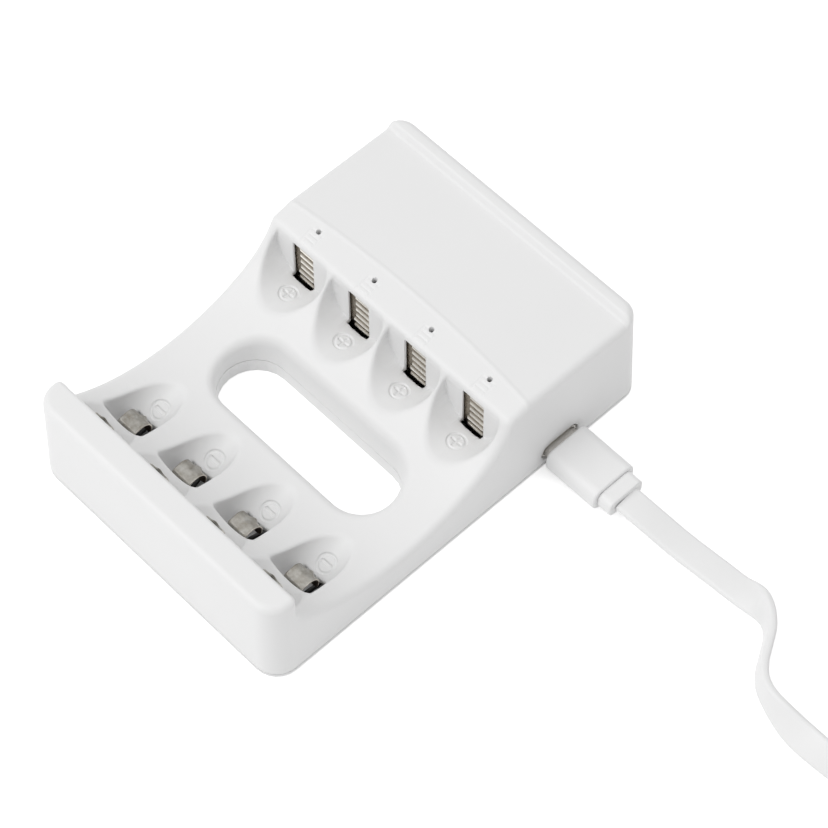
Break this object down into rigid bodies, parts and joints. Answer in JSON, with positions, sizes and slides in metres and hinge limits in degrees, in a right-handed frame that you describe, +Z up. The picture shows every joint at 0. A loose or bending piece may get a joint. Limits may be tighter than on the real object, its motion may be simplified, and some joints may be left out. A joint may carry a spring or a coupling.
{
  "type": "four-bay battery charger",
  "caption": "Low battery charger with a row of round cell bays, spring contacts, a raised rear housing with indicator lamps, and a USB lead.",
  "frame": {"origin": "under the middle of the charger's body, on the surface that it stands on", "axes": "+X along the row of bays towards the USB socket, +Y from the low front lip to the tall rear housing, +Z up"},
  "size_m": [0.2124, 0.1385, 0.0265],
  "materials": {
    "white_plastic": "fine satin",
    "lead_plastic": "satin, flexible",
    "nickel_sheet": "nickel plated",
    "steel": "plain",
    "board": "solder mask",
    "black_plastic": "plain",
    "aluminium": "plain",
    "ferrite": "plain",
    "lamp": "clear lens",
    "wire": "insulation",
    "tie": "hook and loop"
  },
  "bodies": {
    "charger": {"top_housing": "white_plastic", "bottom_cover": "white_plastic", "positive_contact_1": "nickel_sheet", "positive_contact_2": "nickel_sheet", "positive_contact_3": "nickel_sheet", "positive_contact_4": "nickel_sheet", "cover_screw_1": "steel", "cover_screw_2": "steel", "cover_screw_3": "steel", "cover_screw_4": "steel", "socket_shell": "steel", "circuit_board": "board", "charge_controller": "black_plastic", "socket_tongue": "black_plastic", "capacitor": "aluminium", "inductor": "ferrite", "indicator_lamp_1": "lamp", "indicator_lamp_2": "lamp", "indicator_lamp_3": "lamp", "indicator_lamp_4": "lamp", "negative_lead_1": "wire", "negative_lead_2": "wire", "negative_lead_3": "wire", "negative_lead_4": "wire"},
    "spring_contact_1": {"negative_contact_1": "nickel_sheet"},
    "spring_contact_2": {"negative_contact_2": "nickel_sheet"},
    "spring_contact_3": {"negative_contact_3": "nickel_sheet"},
    "spring_contact_4": {"negative_contact_4": "nickel_sheet"},
    "usb_lead": {"lead_cable": "lead_plastic", "lead_coil": "lead_plastic", "coil_tie": "tie", "lead_tail": "lead_plastic", "far_strain_relief": "lead_plastic", "far_plug_body": "lead_plastic", "far_plug_shell": "steel", "far_plug_insulator": "black_plastic", "plug_strain_relief": "lead_plastic", "plug_body": "lead_plastic", "plug_shell": "steel"}
  },
  "joints": [
    {"name": "contact_1_flex", "type": "hinge", "parent": "charger", "child": "spring_contact_1", "pos_m": [-0.024, -0.0385, 0.004], "axis": [1, 0, 0], "range_deg": [0, 5], "stiffness_Nm_per_rad": 0.5},
    {"name": "contact_2_flex", "type": "hinge", "parent": "charger", "child": "spring_contact_2", "pos_m": [-0.008, -0.0385, 0.004], "axis": [1, 0, 0], "range_deg": [0, 5], "stiffness_Nm_per_rad": 0.5},
    {"name": "contact_3_flex", "type": "hinge", "parent": "charger", "child": "spring_contact_3", "pos_m": [0.008, -0.0385, 0.004], "axis": [1, 0, 0], "range_deg": [0, 5], "stiffness_Nm_per_rad": 0.5},
    {"name": "contact_4_flex", "type": "hinge", "parent": "charger", "child": "spring_contact_4", "pos_m": [0.024, -0.0385, 0.004], "axis": [1, 0, 0], "range_deg": [0, 5], "stiffness_Nm_per_rad": 0.5},
    {"name": "plug_slide", "type": "slide", "parent": "charger", "child": "usb_lead", "axis": [1, 0, 0], "range_m": [0, 0.01]}
  ]
}
